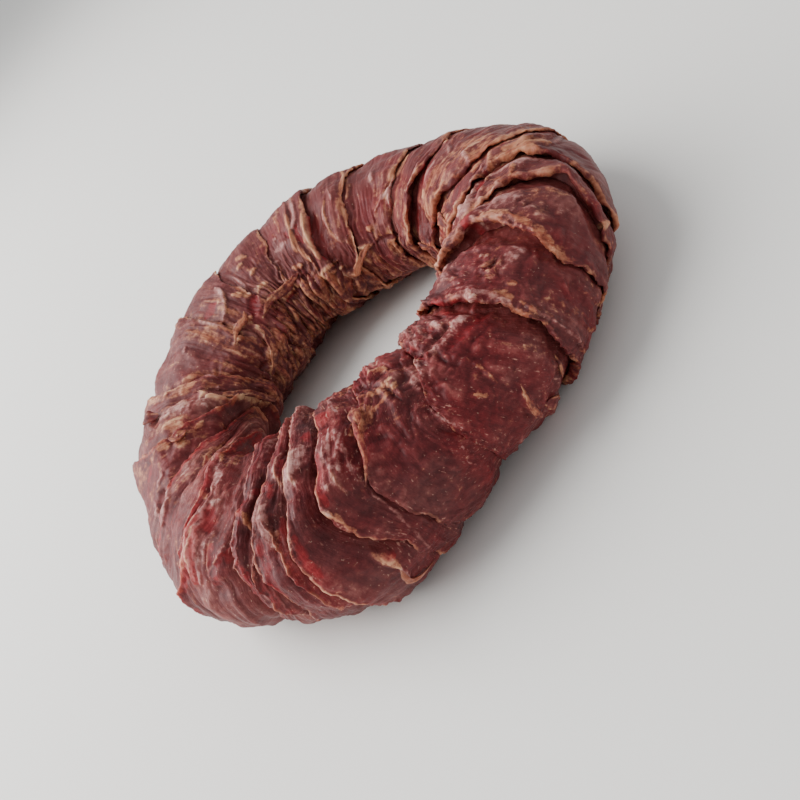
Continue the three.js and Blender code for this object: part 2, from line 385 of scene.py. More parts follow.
    ((130, 68), (121, 69), (112, 67.5), 0.8, -0.4, "red"),
    ((120, 72), (115, 73), (111, 73), 0.6, -0.5, "red"),
    ((121, 74.5), (119, 78), (117, 81), 1.6, 0.3, "bloom"),
    ((108, 78), (107, 79), (106, 79.5), 0.9, 0.5, "bloom"),
    ((143, 74), (142, 76.5), (140, 79), 1.2, 0.6, "fat"),
    ((163, 60), (162, 65), (160, 72.5), 0.9, 0.8, "fat"),
    ((156, 60.5), (157, 66), (160, 73), 0.8, 0.7, "fat"),
    ((165, 71.5), (163, 77), (165, 82), 0.8, 0.7, "fat"),
    ((154, 73.5), (153, 75.5), (152, 78), 1.0, -0.9, "dark"),
    ((172, 81.5), (169, 82.5), (166, 84), 1.0, -0.9, "dark"),
    ((184, 72.5), (177, 72), (167, 70), 0.7, 0.5, "fat"),
    ((152, 84), (154, 90), (150, 97), 1.2, 0.5, "fat"),
    ((158, 82), (157, 88), (158, 95), 0.7, -0.6, "red"),
    ((145, 84), (144, 87), (141, 90), 0.7, 0.4, "bloom"),
    ((137, 94), (133, 97), (136, 101.5), 0.8, 0.5, "fat"),
    ((127, 82), (125, 83.5), (123, 85), 0.7, 0.4, "bloom"),
    ((118, 84), (117, 85), (116, 86), 0.8, 0.4, "bloom"),
    ((120, 92), (119, 93.5), (121, 96), 0.8, 0.5, "fat"),
    ((106, 94.5), (106, 96), (107, 97), 0.7, 0.5, "fat"),
    ((102, 91), (99, 93), (95, 94), 1.6, 0.3, "fat"),
    ((131, 103.5), (120, 101.5), (107, 100.5), 0.8, 0.6, "bloom"),
    ((125, 105), (123, 106.5), (119, 107.5), 1.3, 0.5, "fat"),
    ((135, 103), (138, 107), (143, 111), 1.6, -1.0, "red"),
    ((99, 107), (111, 109), (120, 113.5), 0.9, 0.6, "bloom"),
    ((120, 113.5), (121, 116.5), (122, 119.5), 0.7, 0.4, "bloom"),
    ((109, 112.5), (105, 115.5), (102, 118.5), 1.6, -0.3, "red"),
    ((131, 119.5), (117, 121), (100, 120), 0.8, 0.5, "bloom"),
    ((142, 112.5), (138, 116.5), (135, 120.5), 1.3, 0.8, "fat"),
    ((140, 119.5), (142, 122.5), (140, 126), 0.7, 0.6, "fat"),
    ((148, 115), (160, 116), (167, 119.5), 1.4, 0.9, "fat"),
    ((167, 119.5), (171, 123.5), (182, 129.5), 1.3, 0.9, "fat"),
    ((177, 107.5), (178, 110.5), (181, 113.5), 2.0, -1.2, "dark"),
    ((169, 111.5), (165, 107.5), (160, 105.5), 0.8, 0.5, "bloom"),
    ((148, 101.5), (149, 105.5), (150, 110.5), 0.6, 0.5, "fat"),
    ((174, 125.5), (170, 127.5), (171, 130), 1.0, -0.8, "dark"),
    ((99, 130.5), (99, 131), (100, 132.5), 0.9, 0.4, "bloom"),
    ((137, 144), (127, 142), (118, 140.5), 0.9, 0.6, "bloom"),
    ((118, 140.5), (105, 142.5), (91, 148.5), 1.4, 0.6, "fat"),
    ((119, 146), (113, 147.5), (108, 149.5), 1.8, 0.3, "fat"),
    ((138, 148), (138, 149), (138, 150), 0.8, 0.4, "bloom"),
    ((123, 151), (127, 152.5), (125, 155), 1.1, 0.9, "fat"),
    ((130, 155), (145, 155), (157, 153.5), 1.1, 1.0, "fat"),
    ((157, 153.5), (167, 149.5), (177, 147), 1.0, 1.0, "fat"),
    ((177, 147), (184, 145), (178, 140), 1.0, 0.9, "fat"),
    ((133, 162.5), (130, 159.5), (127, 158.5), 0.9, 0.5, "bloom"),
    ((116, 159), (116, 160.5), (115, 161.5), 0.8, 0.4, "bloom"),
    ((102, 157), (99, 157), (96, 157.5), 0.6, 0.4, "bloom"),
    ((82, 155), (79, 154.5), (76, 154), 0.9, 0.3, "red"),
    ((97, 171), (92, 170), (83, 166), 2.2, 0.5, "fat"),
    ((126, 167), (124, 168), (119, 169.5), 0.9, 0.4, "fat"),
    ((109, 172), (104, 173), (112, 174), 1.4, 0.4, "fat"),
    ((80, 176), (76, 177), (70, 178.5), 1.0, 0.4, "bloom"),
    ((87, 181.5), (81, 186.5), (79, 192), 0.9, 0.8, "bloom"),
    ((80, 192.5), (69, 193.5), (58, 193.5), 0.9, 0.8, "bloom"),
    ((73, 181), (68, 184), (70, 190.5), 2.2, -1.4, "red"),
    ((59, 179.5), (58, 185), (62, 192.5), 1.2, 0.5, "bloom"),
    ((72, 170), (66, 171), (60, 171.5), 1.4, -0.2, "red"),
    ((170, 166.5), (157, 175), (147, 184), 0.7, 0.4, "bloom"),
    ((147, 184), (138, 190), (115, 208), 1.4, 0.4, "fat"),
    ((176, 170.5), (166, 181.5), (158, 186), 2.0, 0, "red"),
    ((104, 196), (101, 199), (98, 201), 0.6, 0.3, "bloom"),
    ((104, 186.5), (99, 187), (94, 187.5), 0.8, 0.3, "bloom"),
)

# How rough the meat is, in mm, at twelve places round the ring, on the outside, on top and beside the hole:
# pleats that run round the tube, crumpled lumps, and torn strands that hang beside the hole.
pleat_depth = ((0.12, 0.12, 0.12, 0.12, 0.12, 0.15, 0.2, 0.3, 0.25, 0.08, 0.1, 0.1),
               (0.15, 0.1, 0.1, 0.1, 0.12, 0.2, 0.25, 0.3, 0.4, 0.2, 0.15, 0.12),
               (0.3, 0.3, 0.2, 0.2, 0.2, 0.3, 0.3, 0.3, 0.4, 0.4, 0.3, 0.3))
crumple_depth = ((0.1, 0.05, 0.05, 0.05, 0.05, 0.1, 0.1, 0.1, 0.1, 0.15, 0.2, 0.1),
                 (0.1, 0.06, 0.06, 0.06, 0.08, 0.12, 0.15, 0.2, 0.3, 0.6, 0.35, 0.25),
                 (0.2, 0.15, 0.12, 0.12, 0.12, 0.2, 0.1, 0.1, 0.3, 0.6, 0.4, 0.2))
strand_depth = ((0,) * 12,
                (0.15, 0, 0, 0, 0, 0, 0, 0, 0, 0.1, 0.1, 0.15),
                (0.15, 0.2, 0.5, 0.6, 0.4, 0.1, 0, 0, 0, 0.1, 0.1, 0.2))

# How far each turn's fibres drift along the ring, in mm for each degree round the tube. At the lower left
# they follow the rims instead, and in one turn they lie in arcs about a point round the tube and the ring.
fibre_slant = (0, 0, 0, 0, 0, 0, 0.1, 0.06, 0.03, 0, 0, 0, 0, 0, 0, 0, 0, 0, 0, 0, -0.02, 0)
petal_turns = (21, 0, 1, 2, 3, 4)
arc_turn = 5
arc_middle = (35, 274)

# How deep a turn sinks in between its own rim and the next one, in mm, in the same places.
valley_depth = ((0, 0, 0, 0, 0, 0, 0, 0.2, 0, 0, 0, 0),
                (0, 0, 0, 0, 0, 0, 0.4, 1.4, 0, 0, 0, 0),
                (0, 0, 0, 0, 0, 0.3, 1.0, 0.8, 0, 0, 0, 0))

# How wide a rim shows tan fat, and how wide it is red and clear behind the cut, in mm, in the same places.
tan_rim = ((0.6, 0.6, 0.8, 0.6, 0.6, 0.8, 0.7, 0.6, 0.4, 0.3, 0.5, 1.0),
           (1.6, 1.2, 1.2, 0.8, 0.8, 1.0, 0.8, 0.7, 0.6, 0.5, 1.4, 2.0),
           (1.6, 1.6, 1.4, 1.0, 1.0, 1.2, 0.8, 0.5, 0.5, 0.6, 1.2, 1.6))
red_rim = ((0.4, 0.4, 0.4, 0.3, 0.4, 0.8, 1.5, 1.8, 1.0, 0.3, 0.6, 1.0),
           (0.5, 0.6, 0.6, 0.4, 0.6, 0.8, 1.8, 2.2, 1.2, 0.4, 0.3, 0.8),
           (1.8, 0.8, 0.6, 0.6, 0.8, 1.4, 2.2, 1.6, 1.2, 1.0, 0.6, 0.8))

# Where tan fat and a dry pale bloom, partly a painted sheen, lie on the dark lean meat, in the same places:
# hardly anywhere at 0 and less, nearly everywhere at 1. Patches of noise are added.
fat_share = ((0.25, 0.2, 0.2, 0.2, 0.2, 0.3, 0.25, 0.3, 0, -0.2, 0, 0.2),
             (0.6, 0.35, 0.3, 0.3, 0.4, 0.5, 0.45, 0.25, 0.15, 0.25, 0.2, 0.45),
             (0.5, 0.5, 0.65, 0.75, 0.65, 0.5, 0.1, 0, 0.1, 0.3, 0.3, 0.5))
bloom_and_sheen_share = ((0.1, 0.1, 0.1, 0.1, 0.15, 0.1, -0.2, -0.5, -0.5, -0.15, 0, 0.1),
               (0.15, 0.1, 0.1, 0.15, 0.4, 0.65, 0.4, -0.1, 0.1, 0.25, 0.75, 1.05),
               (0.1, 0.1, 0.1, 0.1, 0.1, 0.1, 0.1, 0.1, 0.3, 0.2, 0.3, 0.1))

# How wide the lilac bloom lies along a rim, partly as a painted sheen, in mm, in the same places.
lilac_and_sheen_rim = ((0.1, 0.1, 0.1, 0.1, 0.1, 0.2, 0.3, 0.3, 0.3, 0, 0, 0.1),
             (0.2, 0.2, 0.2, 0.2, 0.2, 0.3, 0.5, 0.6, 1.0, 0.3, 1.0, 0.3),
             (0.1, 0.1, 0.1, 0.1, 0.1, 0.2, 0.4, 0.8, 1.6, 0.6, 0.5, 0.2))

# How much of a rim shows a pale cut, and how clearly thin lilac lines of painted sheen edge the folds, in
# the same places.
cut_share = ((0, 0, 0, 0, 0, 0, 0, 0.2, 0.3, -0.4, -0.3, 0),
             (0, 0, 0, 0, 0, 0, 0.1, 0.3, 0.3, -0.2, 0, 0),
             (0, 0, 0, 0, 0, 0, 0, 0.2, 0.2, 0, 0, 0))
petal_edge_sheen = ((0, 0, 0, 0, 0, 0, 0.1, 0.3, 0.2, 0, 0, 0),
              (0.2, 0, 0, 0, 0, 0, 0.2, 0.5, 0.7, 0.2, 0, 0),
              (0, 0, 0, 0, 0, 0.1, 0.3, 0.5, 0.9, 0.4, 0, 0))

# How grainy the surface is, from 0 to 1: the near side is dry and fibrous, the far side smooth.
grit = ((0.2, 0.15, 0.15, 0.2, 0.2, 0.3, 0.4, 0.5, 0.8, 1, 0.8, 0.4),
        (0.4, 0.2, 0.15, 0.2, 0.3, 0.4, 0.6, 0.8, 0.9, 1, 1, 0.6),
        (0.5, 0.35, 0.3, 0.3, 0.35, 0.4, 0.5, 0.6, 0.8, 1, 1, 0.6))


def between(a, b, c, d, part):
    """A smooth curve from b to c, bent by the values before and after them."""
    return b + part / 2 * (c - a + part * (2 * a - 5 * b + 4 * c - d + part * (3 * (b - c) + d - a)))


def around(stations, degrees):
    """A smooth closed curve through evenly spaced stations, read at any angles."""
    stations = np.asarray(stations, float)
    count = len(stations)
    place = np.asarray(degrees, float) / 360 * count
    first = np.floor(place).astype(int)
    nearby = (stations[(first + step) % count] for step in (-1, 0, 1, 2))
    return between(*nearby, place - first)


def round_tube(values):
    """Five stations over the top of the tube, led back evenly across its underside."""
    outside, inside = values[0], values[-1]
    return list(values) + [inside + (outside - inside) * share for share in (0.25, 0.5, 0.75)]


def over_surface(field, ring_angle, tube_angle):
    """A value given in three rows, for outside, on top and beside the hole, read anywhere on the tube."""
    outside, top, inside = (around(row, ring_angle) for row in field)
    across, up = np.cos(np.radians(tube_angle)), np.sin(np.radians(tube_angle))
    below = np.where(up < 0, up * up, 0) / 2
    outside = outside * (np.where(across > 0, across * across, 0) + below)
    inside = inside * (np.where(across < 0, across * across, 0) + below)
    return outside + inside + top * np.where(up > 0, up * up, 0)


def edge_line(turn, tube_angle, spread):
    """The front edge of a turn; a spread under 1 draws it in towards one point on the centre line."""
    lap, place = divmod(turn, len(turns))
    stations = round_tube(turns[place][0])
    middle = sum(stations) / len(stations)
    return middle + (around(stations, tube_angle) - middle) * spread + 360 * lap


def centre_line(ring_angle):
    radius = around(centre_radius, ring_angle)
    return radius * np.cos(np.radians(ring_angle)), radius * np.sin(np.radians(ring_angle))


def tube_point(ring_angle, tube_angle, wide, high):
    """Points of the tube in mm, at angles round the ring and round the tube."""
    x, y = centre_line(ring_angle)
    before, after = centre_line(ring_angle - 0.5), centre_line(ring_angle + 0.5)
    along_x, along_y = after[0] - before[0], after[1] - before[1]
    length = np.hypot(along_x, along_y)
    out = wide * np.cos(np.radians(tube_angle))
    z = flatness * around(half_width, ring_angle) + high * np.sin(np.radians(tube_angle)) - sag
    z = np.where(z > press_above, press_above + (z - press_above) * press_slope, z)
    x, y = x + along_y / length * out + to_middle[0], y - along_x / length * out + to_middle[1]
    return np.stack([x, y, np.maximum(z, 0)], -1)


def smooth_step(low, high, value):
    share = np.clip((value - low) / (high - low), 0, 1)
    return share * share * (3 - 2 * share)


def fade(low, high, value):
    """The other way round: 1 up to the low value and 0 from the high one."""
    return 1 - smooth_step(low, high, value)


def noise(x, y, z, seed):
    """Smooth random values between about -1 and 1, with bumps one unit across, from slopes on a lattice."""
    low = [np.floor(part) for part in (x, y, z)]
    inside = [part - floor for part, floor in zip((x, y, z), low)]
    ease = [smooth_step(0, 1, part) for part in inside]
    corner_factors = (12.9898, 78.233, 37.719)
    slope_factors = (43758.5453, 22578.1459, 19642.3490)
    total = 0
    for corner in range(8):
        side = (corner & 1, corner >> 1 & 1, corner >> 2 & 1)
        mixed = sum((floor + step) * factor for floor, step, factor in zip(low, side, corner_factors))
        value = 0
        for part, step, factor in zip(inside, side, slope_factors):
            slope = np.modf(np.abs(np.sin(mixed + seed * 5.31) * factor))[0] * 2 - 1
            value = value + slope * (part - step)
        for part, step in zip(ease, side):
            value = value * (part if step else 1 - part)
        total = total + value
    return total * 1.7


def on_tube(tube_angle, ring_place, long, across, seed):
    """Noise on the tube's skin, with patches so long round the tube and so wide along the ring, in mm."""
    turned = np.radians(tube_angle)
    x, y = mean_half_width * np.cos(turned), mean_half_width * np.sin(turned)
    return noise(x / long, y / long, ring_place / across, seed)


def folds(value):
    """Puffed lobes with sharp creases between them, made of noise."""
    return 2.2 * np.abs(value) - 0.55


# The steps across one turn, from its middle, up its front wall, out along the underside of its lip, round
# the rim, over its back, under the next lip and down to its middle. Each has the part that it belongs to,
# its share of the turn's width, and a further distance along the ring in mm. The last number is the depth
# under the top of the lip, in thicknesses of the lip, or how far out it lies in the core, from 0 to 1.
steps = [("core", 0, 0.1, 0), ("core", 0, lip_length, 0.6), ("lip", 0, lip_length, 2.4)]
steps += [("lip", 0, distance, 1) for distance in np.linspace(lip_length, rim_round + 0.3, 7)]
steps += [("lip", 0, rim_round * (1 - math.sin(turned)), (1 - math.cos(turned)) / 2)
          for turned in np.linspace(math.pi, 0, 10)[:-1]]
steps += [("back", share, rim_round * (1 - share), 0) for share in np.linspace(0, 1, steps_across)]
steps += [("tongue", 1, distance, 0) for distance in np.linspace(0.3, lip_length - 0.6, 6)]
steps += [("core", 1, lip_length - 0.3, 0.6), ("core", 1, -0.1, 0)]
last = len(steps) - 1

shape = bmesh.new()
corners = [shape.verts.new((0 if step in (0, last) else 1, 0, step)) for step in range(last + 1)]
edges = [shape.edges.new(pair) for pair in zip(corners, corners[1:])]
bmesh.ops.spin(shape, geom=corners + edges, cent=(0, 0, 0), axis=(0, 0, 1), dvec=(0, 0, 0),
               angle=2 * math.pi, steps=faces_round, use_merge=True)
bmesh.ops.remove_doubles(shape, verts=shape.verts, dist=1e-5)
bmesh.ops.recalc_face_normals(shape, faces=shape.faces)
bare_turn = make_mesh("bare_turn", shape)
bare_turn.shade_smooth()


def read_mesh(mesh):
    """The places of a mesh's corners, and which of them each corner of a face is."""
    places = np.empty(len(mesh.vertices) * 3)
    mesh.vertices.foreach_get("co", places)
    corner_of_face = np.empty(len(mesh.loops), int)
    mesh.loops.foreach_get("vertex_index", corner_of_face)
    return places.reshape(-1, 3), corner_of_face


lathe, corner_of_face = read_mesh(bare_turn)
step = np.rint(lathe[:, 2]).astype(int)
tube_angle = np.degrees(np.arctan2(lathe[:, 1], lathe[:, 0]))
around_tube = (tube_angle + 90) % 360 - 90
part, share, along, depth = (np.array(column)[step] for column in zip(*steps))
is_lip, is_tongue, is_core = part == "lip", part == "tongue", part == "core"
spread = np.where(is_core, depth, 1)

face_start = np.empty(len(bare_turn.polygons), int)
bare_turn.polygons.foreach_get("loop_start", face_start)
face_size = np.diff(np.append(face_start, len(corner_of_face)))


def add_layers(ring_angle, tube_angle, from_rim):
    """The height of the thinner layers, and the distance to the nearest edge of a layer or a rim."""
    height = 0
    for (*line, rise, run) in layers:
        tube_places, ring_places = zip(*sorted(line))
        middle = np.interp(tube_angle, tube_places, ring_places)
        bend = np.polyfit(tube_places, ring_places, 2)
        inside = (tube_angle > tube_places[0]) & (tube_angle < tube_places[-1])
        middle = np.where(inside, np.polyval(bend, tube_angle), middle)
        ends = smooth_step(tube_places[0] - 4, tube_places[0] + 12, tube_angle)
        ends = ends * fade(tube_places[-1] - 12, tube_places[-1] + 4, tube_angle)
        distance = (ring_angle - middle) * 0.8 + 0.5 * on_tube(tube_angle, ring_angle / 4, 3, 3, rise * 31)
        edge = ends * rise * smooth_step(-0.2, 0.25, distance)
        height = height + edge * np.exp(-np.maximum(distance, 0) / run)
        near = (ends > 0.35) & (distance > -0.15) & (distance < 4)
        from_rim = np.where(near, np.minimum(from_rim, np.maximum(distance, 0)), from_rim)
    return height, from_rim


def from_ring_axis(tube_angle):
    """About how far the skin lies from the ring's own axis, in mm."""
    return mean_radius + mean_reach * np.cos(np.radians(tube_angle))


def lay_streaks(ring_angle, tube_angle, raised):
    """The height of the single folds and strands, and how much of each look there is at every point."""
    height = np.zeros_like(ring_angle)
    looks = {name: np.zeros_like(ring_angle) for name in ("fat", "bloom", "red", "dark")}
    for (*line, half_width_here, rise, look) in streaks:
        line = np.array(line, float)
        scale = np.radians((mean_half_width, from_ring_axis(line[1, 0])))
        bent = (line - line[1]) * scale
        reach = np.abs(bent).max(0) + 1.5 * half_width_here
        places = np.stack([tube_angle - line[1, 0], ring_angle - line[1, 1]], -1)
        places = ((places + 180) % 360 - 180) * scale
        near = np.flatnonzero((np.abs(places) < reach).all(-1))

        # A curve through the three places, and how far every point near it lies from it.
        share = np.linspace(0, 1, 10)[:, None]
        curve = bent[0] * (1 - share) * (1 - 2 * share) + bent[2] * share * (2 * share - 1)
        first, step = curve[:-1], np.diff(curve, axis=0)
        away = places[near, None] - first
        part = np.clip((away * step).sum(-1) / (step * step).sum(-1), 0, 1)
        distance = np.linalg.norm(away - part[..., None] * step, axis=-1)
        closest = distance.argmin(-1)
        rows = np.arange(len(near))
        along = (closest + part[rows, closest]) / len(step)
        uneven = on_tube(tube_angle[near], ring_angle[near] * 0.8, 2, 2, rise * 17 + line[0, 0])
        ragged = distance[rows, closest] + 0.3 * uneven
        taper = half_width_here * (0.3 + 0.7 * np.sqrt(np.sin(np.pi * np.clip(along, 0, 1))))
        mask = np.clip(1 - np.clip(ragged / taper, 0, 1) ** 2, 0, 1)
        if rise > 0:
            mask = mask * raised[near]
        height[near] = height[near] + rise * 0.7 * mask
        looks[look][near] = np.maximum(looks[look][near], mask)
    return height, looks


def follow_fibres(turn, around_tube, ring_place):
    """How far a point lies along its fibre and across the fibres, in mm."""
    mm_per_degree = 0.28
    if turn != arc_turn:
        return around_tube * mm_per_degree, ring_place + fibre_slant[turn] * around_tube
    up = (around_tube - arc_middle[0]) * mm_per_degree
    back = math.radians(arc_middle[1]) * mean_radius - ring_place
    return np.arctan2(up, back) * 15, np.hypot(up, back)


def skin_noise(place, long, across, seed):
    """Noise at every corner of the bare turn, at places along the ring or across the fibres in mm."""
    return on_tube(tube_angle, place, long, across, seed)


def rim_noise(long, seed):
    """Noise that changes round the tube and stays the same across a turn."""
    return skin_noise(0 * along, long, 1, seed)


def fill_mesh(mesh, places, marks, grain):
    """Place a mesh's corners, and give it the marks and the map of the grain that its finish reads."""
    mesh.vertices.foreach_set("co", (places * to_metres).ravel())
    for name, values in marks.items():
        mesh.attributes.new(name, "FLOAT", "POINT").data.foreach_set("value", values.astype(np.float32))
    mesh.uv_layers.new(name="grain").data.foreach_set("uv", (grain * 0.01).astype(np.float32).ravel())
    mesh.update()


def shape_turn(turn):
    """One slice: its own lip in front, and its back as far as under the next turn's lip."""
    _, lift, _, swell = turns[turn]
    _, next_lift, gap, next_swell = turns[(turn + 1) % len(turns)]
    lift, next_lift, gap = (around(round_tube(row), tube_angle) for row in (lift, next_lift, gap))
    lift, next_lift = (row * np.clip(1 + rim_noise(5, number % len(turns) + 90), 0.1, 1.7)
                       for row, number in ((lift, turn), (next_lift, turn + 1)))
    start, end = edge_line(turn, tube_angle, spread), edge_line(turn + 1, tube_angle, spread)
    base_angle = start + (end - start) * share
    wide = around(half_width, base_angle)
    from_axis = around(centre_radius, base_angle) + wide * spread * np.cos(np.radians(tube_angle))
    width = np.radians(end - start) * from_axis
    next_width = np.radians(edge_line(turn + 2, tube_angle, spread) - end) * from_axis
    reach = along * np.clip(np.where(share < 1, width, next_width) / 9, 0.3, 1)
    reach = np.where(part == "back", along, reach)
    distance = share * width + np.where(share < 1, reach, 0)

    # The rim wanders, as meat that was cut and then torn does.
    fray = 1.2 * rim_noise(6, turn + 40) + 0.35 * rim_noise(2.2, turn + 70)
    fray = fray + 0.25 * rim_noise(0.8, turn + 71)
    ring_angle = base_angle + np.degrees((reach + fray * np.exp(-distance / 2) * (share < 1)) / from_axis)
    ring_place = np.radians(ring_angle) * mean_radius

    def here(field):
        return over_surface(field, ring_angle, tube_angle)

    # Folds, fibres, lumps and torn strands.
    drifted = share * width.mean() if turn in petal_turns else ring_place
    drifted = drifted + 3 * skin_noise(ring_place, 20, 14, 5)
    wander = follow_fibres(turn, around_tube, drifted)[1]
    lumps = skin_noise(ring_place, 9, 9, 3) + 0.5 * skin_noise(ring_place, 4, 4, 4)
    wave = skin_noise(wander, 30, 4.5, turn + 11)
    pleats = folds(wave)
    pleats = pleats + 0.25 * folds(skin_noise(wander + 0.5 * pleats, 18, 1.8, turn + 12))
    turned, shifted = tube_angle + 10 * lumps, ring_place + 2.5 * skin_noise(ring_place, 5, 5, 25)
    crumple = folds(on_tube(turned, shifted, 4.2, 4.2, 23))
    crumple = crumple + 0.5 * folds(on_tube(turned, shifted, 1.8, 1.8, 24))
    strands = folds(on_tube(turned, shifted, 9, 1.9, 29)) + 0.4 * on_tube(turned, shifted, 4, 0.8, 30)
    fibres = skin_noise(wander, 7, 0.9, turn + 17) + 0.6 * skin_noise(wander, 4, 0.5, turn + 18)
    fine = here(pleat_depth) * 1.7 * pleats
    fine = fine + here(crumple_depth) * 1.3 * crumple
    fine = fine + here(strand_depth) * 1.2 * strands + 0.12 * fibres
    layer_height, from_rim = add_layers(ring_angle, tube_angle, np.where(is_lip, -depth, distance))
    crust = folds(skin_noise(ring_place, 1.2, 1.2, 31)) * np.exp(-np.maximum(from_rim, 0) / 2)
    relief = 0.8 * lumps - 0.2 + fine + 0.4 * crust * here(grit)

    # The bare form: high at the lip, then sinking to pass under the next lip.
    full = around(lip_thickness, ring_angle) * np.clip(1 + rim_noise(3, turn + 80), 0.4, 1.5)
    thick = full * (0.2 + 0.8 * np.clip(lift / 0.8, 0, 1))
    next_thick = full * (0.2 + 0.8 * np.clip(next_lift / 0.8, 0, 1))
    low = np.minimum(rim_rise + next_lift - next_thick - 0.1, -gap)
    fall = np.minimum(5, 0.75 * width)
    rim = rim_rise + lift
    middle = np.sin(np.pi * np.clip(share, 0, 1))
    skin = rim_rise + lift * np.exp(-(distance / 4.5) ** 2) + 0.3 * middle
    skin = skin - here(valley_depth) * middle * middle
    skin = skin + (low - rim_rise) * smooth_step(0, 1, 1 - (width - distance) / fall)
    raised = fade(0, 0.8, -skin)
    streak_height, looks = lay_streaks(ring_angle, tube_angle, raised)
    relief = relief * (1 - 0.3 * np.maximum(looks["fat"], looks["red"])) + streak_height
    skin = skin + layer_height + relief
    skin = np.where(is_lip, rim + relief + layer_height - depth * thick, skin)
    skin = np.where(is_tongue, low + relief - 0.05, skin)
    # How deep a point lies under the rim, which the finish uses for painted shade and for less painted
    # sheen.
    sunk = rim_rise - skin
    inner = np.exp(-((around_tube - inner_hollow_angle) / hollow_spread) ** 2)
    outer = np.exp(-((around_tube - outer_hollow_angle) / hollow_spread) ** 2)
    hollow = around(inner_hollow, ring_angle) * inner + around(outer_hollow, ring_angle) * outer
    skin = np.where(is_core, 0, skin + swell + (next_swell - swell) * share - hollow)
    places = tube_point(ring_angle, tube_angle, wide * spread + skin, wide * flatness * spread + skin)

    # What the finish needs to know at every point. Little of it shows deep under the lip.
    blotch = 0.5 * skin_noise(wander, 9, 3.5, 61) + 0.4 * skin_noise(wander, 4, 1.4, 62)
    frosting_and_sheen = 0.5 * skin_noise(wander, 9, 4, 65) + 0.2 * skin_noise(wander, 9, 1.2, 66)
    wobble = from_rim + 0.9 * skin_noise(ring_place, 4, 4, 67) + 0.4 * skin_noise(ring_place, 1, 1, 68)
    patch = skin_noise(ring_place, 5, 20, turn + 84) + 0.5 * skin_noise(ring_place, 1.4, 1.4, 85)
    in_sight = smooth_step(-2.5, -1, from_rim)
    band = np.maximum(here(tan_rim) * (1 + 0.9 * skin_noise(ring_place, 7, 12, 69)), 0.1)
    tan = in_sight * fade(0.3, 1.4, wobble / band) * np.minimum(band, 1)
    tan = tan * (0.35 + 0.65 * smooth_step(-0.4, 0.3, patch))
    band = np.maximum(here(lilac_and_sheen_rim), 0.1)
    lilac_and_sheen = smooth_step(-1, 0, from_rim) * fade(0.5, 1.3, (wobble + 0.8 * frosting_and_sheen) / band)
    lilac_and_sheen = lilac_and_sheen * np.minimum(band, 1) * 1.1
    band = np.maximum(here(red_rim), 0.1)
    red = in_sight * fade(0.6, 1.3, wobble / band) * np.minimum(band / 2, 1)
    red = red * (1 - 0.8 * np.clip(lilac_and_sheen, 0, 1))
    cut = smooth_step(-0.5, 0, from_rim) * fade(0.1, 0.5, from_rim)
    cut = cut * smooth_step(-0.1, 0.5, patch + here(cut_share))
    fatness = np.maximum(here(fat_share) * 1.1 + blotch - 0.2, tan)
    # The bloom is partly a painted sheen: it gathers on crests and fades in hollows, and thin lilac lines of
    # painted sheen run along the pleats.
    frost_and_sheen = here(bloom_and_sheen_share) * 1.1 + 0.7 * frosting_and_sheen - 0.45 + 0.8 * fine - 0.5 * np.clip(sunk, 0, 1)
    edges = fade(0.03, 0.1, np.abs(np.abs(wave) - 0.36)) * here(petal_edge_sheen)
    frost_and_sheen = np.maximum(np.maximum(frost_and_sheen, edges), lilac_and_sheen)
    bare = 1 - np.maximum(looks["red"], looks["dark"])
    marks = {
        "cut": cut,
        "sunk": np.clip(sunk + 1.6 * looks["dark"], -1, 3),
        "red": np.maximum(looks["red"], red * 0.85),
        "grit": here(grit),
        "crest": np.clip(fine + streak_height, -1, 1),
        "fat": np.clip(np.maximum(fatness * bare, looks["fat"] * 0.9), 0, 1.2),
        "bloom": np.clip(np.maximum(frost_and_sheen * bare, looks["bloom"] * 0.95), 0, 1.2),
    }

    # Underneath, a face whose angles cross from 270 to -90 degrees is kept in one piece in the map.
    turned = around_tube[corner_of_face]
    highest = np.repeat(np.maximum.reduceat(turned, face_start), face_size)
    turned = np.where(highest - turned > 180, turned + 360, turned)
    grain = np.stack(follow_fibres(turn, turned, drifted[corner_of_face]), -1)
    mesh = bare_turn.copy()
    fill_mesh(mesh, places, marks, grain)
    return mesh


# Dried duck: dark maroon lean meat with tan fat and a lilac bloom on its high places, red and clear behind a
# cut rim, and pale on the cut itself. Light is painted in too: the bloom is partly a painted sheen, crests
# are painted lighter and hollows darker, and some pale flecks are painted glints.
meat, tree = new_material("dried_duck")
skin_place = add_node(tree, "ShaderNodeTexCoord", {}, {}, 3)
grain = add_node(tree, "ShaderNodeUVMap", {"uv_map": "grain"}, {})


def mark(name):
    """One of the values that the mesh carries."""
    return add_node(tree, "ShaderNodeAttribute", {"attribute_name": name}, {}, 2)


def ease(value, low, high):
    smooth = {"interpolation_type": "SMOOTHSTEP"}
    return add_node(tree, "ShaderNodeMapRange", smooth, {0: value, 1: low, 2: high})


def blend(share, first, second):
    return add_node(tree, "ShaderNodeMix", {"data_type": "RGBA"}, {0: share, 6: first, 7: second}, 2)


def ramp(value, *stops):
    """A colour that follows a value, each stop of it as the eye reads it."""
    stops = [(place, paint(*colour)) for place, colour in stops]
    return add_node(tree, "ShaderNodeValToRGB", {"stops": stops}, {"Fac": value})


def mottle(vector, scale, detail):
    inputs = {
        "Vector": add_node(tree, "ShaderNodeMapping", {}, {"Vector": vector, "Scale": scale}),
        "Scale": 1,
        "Detail": detail,
        "Roughness": 0.6,
    }
    return add_node(tree, "ShaderNodeTexNoise", {}, inputs)


def along_grain(long, across, detail):
    """Mottle in streaks of a length and width in mm; one unit of the grain's map is 100 mm."""
    return mottle(grain, (100 / long, 100 / across, 1), detail)


def all_over(size, detail):
    """Mottle in patches of a size in mm; the skin's places are in metres."""
    return mottle(skin_place, (1000 / size,) * 3, detail)


